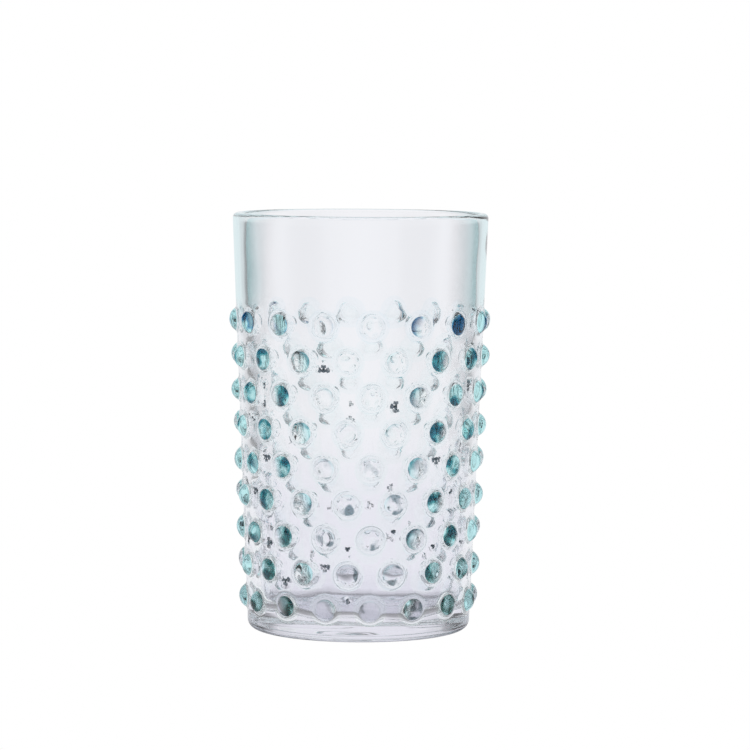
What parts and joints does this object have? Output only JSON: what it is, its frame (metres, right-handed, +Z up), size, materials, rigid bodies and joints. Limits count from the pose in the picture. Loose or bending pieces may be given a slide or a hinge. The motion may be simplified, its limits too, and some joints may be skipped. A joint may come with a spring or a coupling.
{
  "type": "hobnail glass tumbler",
  "caption": "Straight-sided clear glass tumbler, flared a little, with staggered rings of small round coloured glass bosses below a plain lip band and a thick floor.",
  "frame": {"origin": "centre of the foot, on the surface that the glass stands on", "axes": "+Z up along the axis of the glass, from foot to lip; a boss of the top ring points along +X"},
  "size_m": [0.0852, 0.0852, 0.135],
  "materials": {
    "clear_glass": "clear, fire-polished, faint aqua tint",
    "blue_glass": "clear, fire-polished, blue aqua",
    "aqua_glass": "clear, fire-polished, aqua",
    "teal_glass": "clear, fire-polished, green teal"
  },
  "bodies": {
    "root": {"tumbler_body": "clear_glass", "hobnail_ring_1": "blue_glass", "hobnail_ring_2": "aqua_glass", "hobnail_ring_3": "aqua_glass", "hobnail_ring_4": "aqua_glass", "hobnail_ring_5": "teal_glass", "hobnail_ring_6": "teal_glass", "hobnail_ring_7": "teal_glass", "hobnail_ring_8": "teal_glass", "hobnail_ring_9": "teal_glass"}
  },
  "joints": []
}
